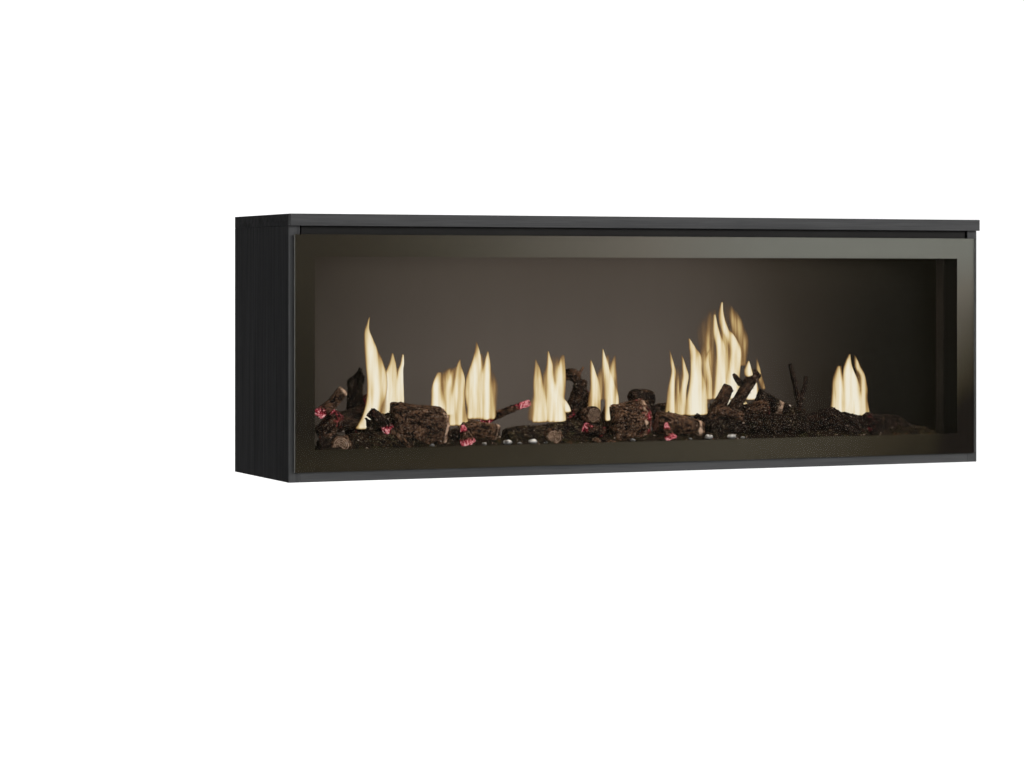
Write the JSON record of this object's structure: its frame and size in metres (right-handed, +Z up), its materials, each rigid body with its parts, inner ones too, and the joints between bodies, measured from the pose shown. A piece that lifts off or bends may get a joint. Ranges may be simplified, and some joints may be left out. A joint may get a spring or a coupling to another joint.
{
  "type": "electric fireplace",
  "caption": "Wall-hung electric fireplace: black board cabinet, smoked glass front, log bed with flame rotor and fan heater.",
  "frame": {"origin": "centre of the wall rail's four screw holes, on the wall's face", "axes": "+X along the cabinet to its right end, -Y out of the wall towards the glass front, +Z up"},
  "size_m": [1.2, 0.27, 0.4],
  "materials": {
    "black_board": "black ash melamine, fine upright grain, satin",
    "hardboard": "raw hardboard",
    "beech": "bare beech",
    "zinc": "zinc plated",
    "steel": "plain steel",
    "black_rubber": "matt rubber",
    "smoked_glass": "smoked tempered glass, polished",
    "border_print": "dark bronze printed border",
    "black_steel": "matt black powder coat",
    "screen_acrylic": "smoke acrylic with a diffusing back",
    "tray_acrylic": "amber acrylic",
    "ember_resin": "moulded ember resin",
    "pebble_stone": "white pebbles",
    "log_resin": "hand-painted moulded logs",
    "mirror_foil": "mirror-finished strip",
    "bronze": "sintered bronze",
    "lamp_strip": "white circuit strip with lamps",
    "grey_plastic": "moulded plastic",
    "heater_fins": "plain fins",
    "dark_plastic": "textured moulding",
    "circuit_board": "circuit board with parts",
    "cable_sheath": "cable sheath"
  },
  "bodies": {
    "cabinet": {"back_panel": "hardboard", "blower_housing": "zinc", "blower_motor": "zinc", "bottom_panel": "black_board", "bracket_screws": "zinc", "cabinet_rail": "zinc", "cam_fittings": "zinc", "canopy": "black_steel", "casing_floor": "black_steel", "casing_front_frame": "black_steel", "casing_left_end": "black_steel", "casing_rear_cover": "black_steel", "casing_right_end": "black_steel", "casing_roof": "black_steel", "casing_screws": "zinc", "catch_magnets": "zinc", "control_board": "circuit_board", "control_panel": "dark_plastic", "cord_gland": "dark_plastic", "ember_bed": "ember_resin", "ember_light_strip": "lamp_strip", "ember_pebbles": "pebble_stone", "ember_tray": "tray_acrylic", "flame_light_strip": "lamp_strip", "flame_mask_plate": "black_steel", "flame_motor": "zinc", "flame_screen": "screen_acrylic", "flame_spring": "steel", "glass_buffers": "black_rubber", "heat_spring": "steel", "heater_duct": "black_steel", "heater_element": "heater_fins", "inner_side_liners": "black_steel", "left_side_panel": "black_board", "log_set_centre": "log_resin", "log_set_left": "log_resin", "log_set_right": "log_resin", "panel_dowels": "beech", "pin_bushes": "black_rubber", "power_board": "circuit_board", "rail_brackets": "zinc", "right_side_panel": "black_board", "rotor_brackets": "zinc", "rotor_bushes": "bronze", "screen_channels": "black_steel", "thermal_cutout": "dark_plastic", "top_panel": "black_board", "wall_bumpers": "black_rubber", "wall_rail": "zinc", "wiring_harness": "cable_sheath"},
    "glass_front": {"front_glass": "smoked_glass", "glass_border": "border_print", "glass_strips": "steel", "locating_pins": "steel"},
    "flame_rotor": {"flame_shaft": "steel", "flame_blades": "mirror_foil"},
    "blower": {"blower_wheel": "grey_plastic"},
    "rocker": {"power_rocker": "dark_plastic"},
    "flame_key": {"flame_button": "dark_plastic"},
    "heat_key": {"heat_button": "dark_plastic"}
  },
  "joints": [
    {"name": "glass_pull", "type": "slide", "parent": "cabinet", "child": "glass_front", "axis": [0, -1, 0], "range_m": [0, 0.25]},
    {"name": "flame_spin", "type": "hinge", "parent": "cabinet", "child": "flame_rotor", "pos_m": [0, -0.12, -0.25], "axis": [1, 0, 0], "continuous": true},
    {"name": "blower_spin", "type": "hinge", "parent": "cabinet", "child": "blower", "pos_m": [0, -0.1, -0.008], "axis": [1, 0, 0], "continuous": true},
    {"name": "rocker_tilt", "type": "hinge", "parent": "cabinet", "child": "rocker", "pos_m": [0.4, -0.207, -0.333], "axis": [0, 1, 0], "range_deg": [0, 14]},
    {"name": "flame_press", "type": "slide", "parent": "cabinet", "child": "flame_key", "axis": [0, 0, 1], "range_m": [0, 0.001], "stiffness_N_per_m": 300, "deforming": ["flame_spring"]},
    {"name": "heat_press", "type": "slide", "parent": "cabinet", "child": "heat_key", "axis": [0, 0, 1], "range_m": [0, 0.001], "stiffness_N_per_m": 300, "deforming": ["heat_spring"]}
  ]
}
